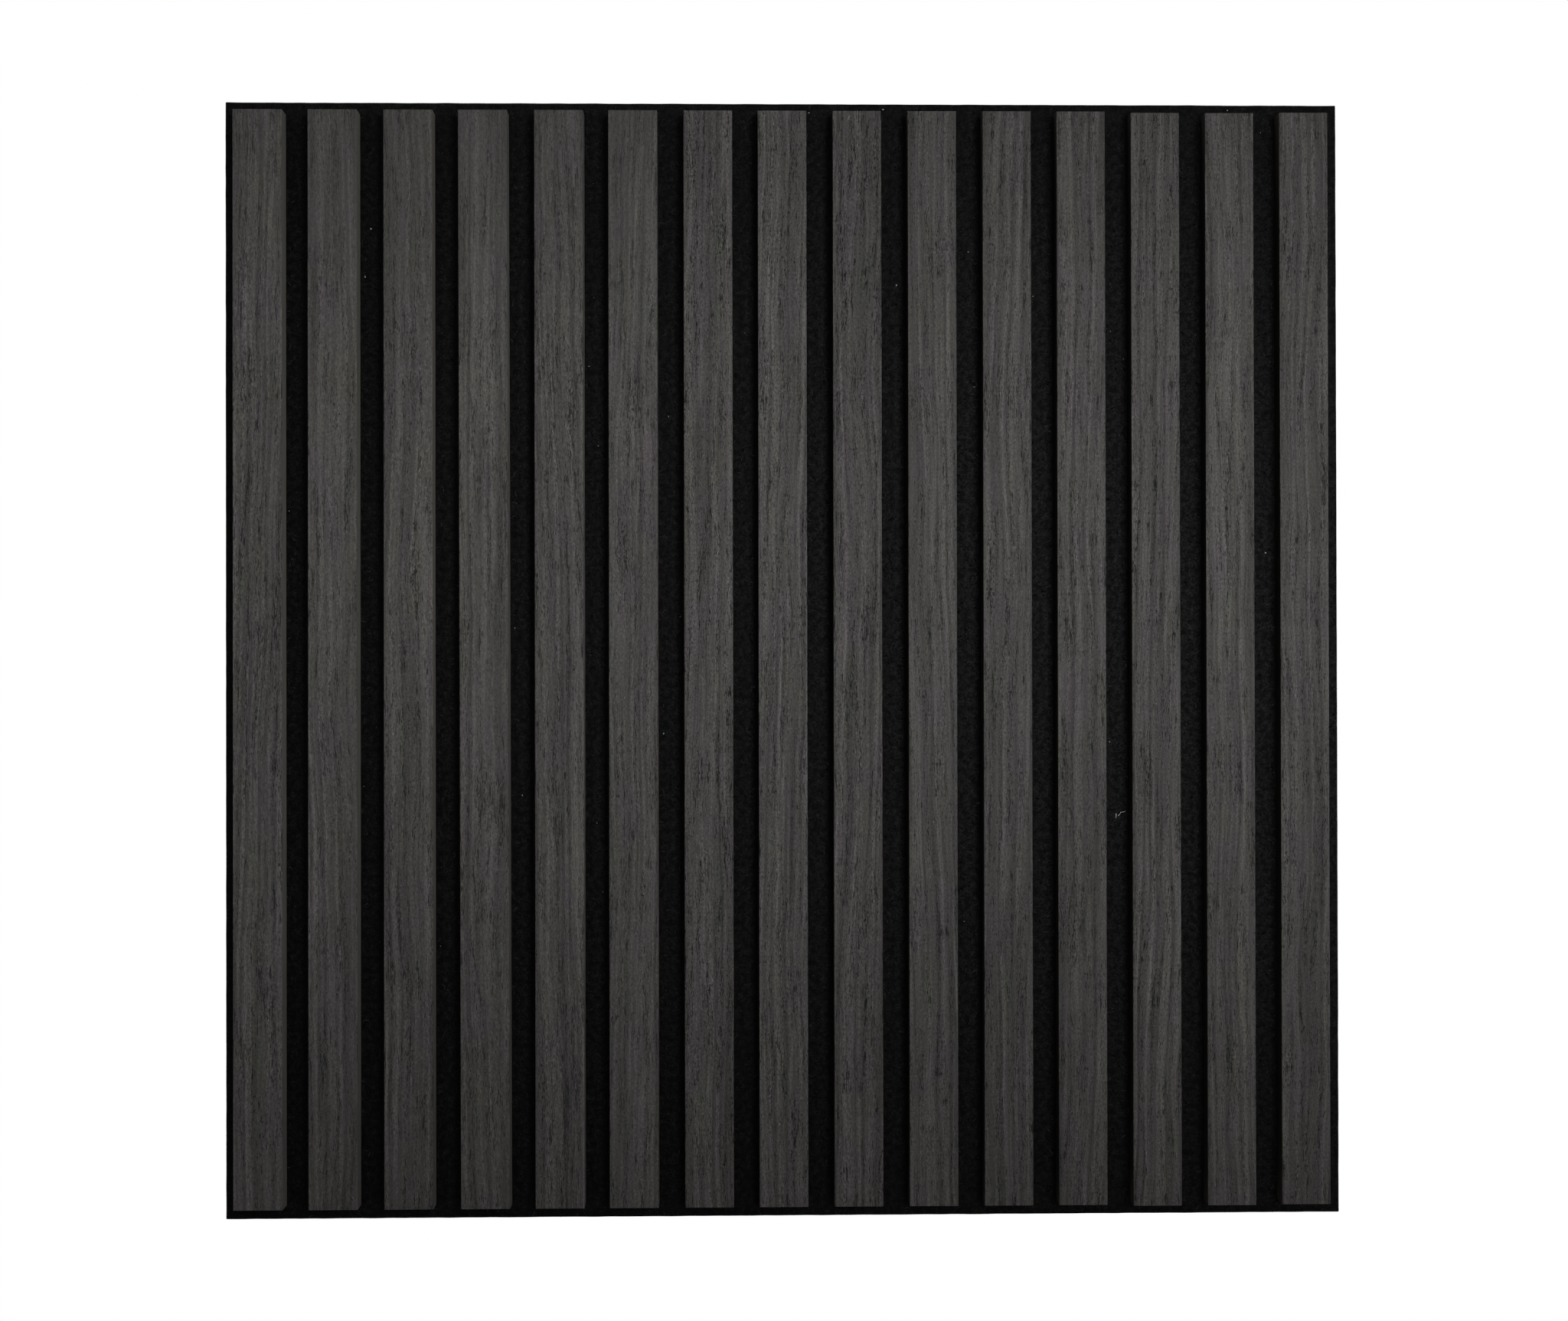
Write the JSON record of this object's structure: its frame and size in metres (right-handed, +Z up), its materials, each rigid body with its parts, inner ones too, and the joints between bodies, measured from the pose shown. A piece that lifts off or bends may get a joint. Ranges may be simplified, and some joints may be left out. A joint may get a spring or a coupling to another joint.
{
  "type": "slatted acoustic panel",
  "caption": "Square wall panel of dark wood-veneered slats on a black felt backing, with open grooves between the slats that let sound reach the felt.",
  "frame": {"origin": "centre of the felt's back face, which lies on the wall", "axes": "+X to the right across the slats and +Z up along them as seen from the front; +Y points back into the wall, and the slats face -Y"},
  "size_m": [0.6, 0.021, 0.6],
  "materials": {
    "felt": "needled felt, matt black",
    "core": "fibreboard dyed charcoal, plain and matt",
    "veneer": "charcoal-stained oak veneer, fine open grain, matt",
    "staple": "galvanised flat wire"
  },
  "bodies": {
    "root": {"felt_backing": "felt", "back_staples": "staple", "slat_core_01": "core", "slat_veneer_01": "veneer", "slat_core_02": "core", "slat_veneer_02": "veneer", "slat_core_03": "core", "slat_veneer_03": "veneer", "slat_core_04": "core", "slat_veneer_04": "veneer", "slat_core_05": "core", "slat_veneer_05": "veneer", "slat_core_06": "core", "slat_veneer_06": "veneer", "slat_core_07": "core", "slat_veneer_07": "veneer", "slat_core_08": "core", "slat_veneer_08": "veneer", "slat_core_09": "core", "slat_veneer_09": "veneer", "slat_core_10": "core", "slat_veneer_10": "veneer", "slat_core_11": "core", "slat_veneer_11": "veneer", "slat_core_12": "core", "slat_veneer_12": "veneer", "slat_core_13": "core", "slat_veneer_13": "veneer", "slat_core_14": "core", "slat_veneer_14": "veneer", "slat_core_15": "core", "slat_veneer_15": "veneer"}
  },
  "joints": []
}
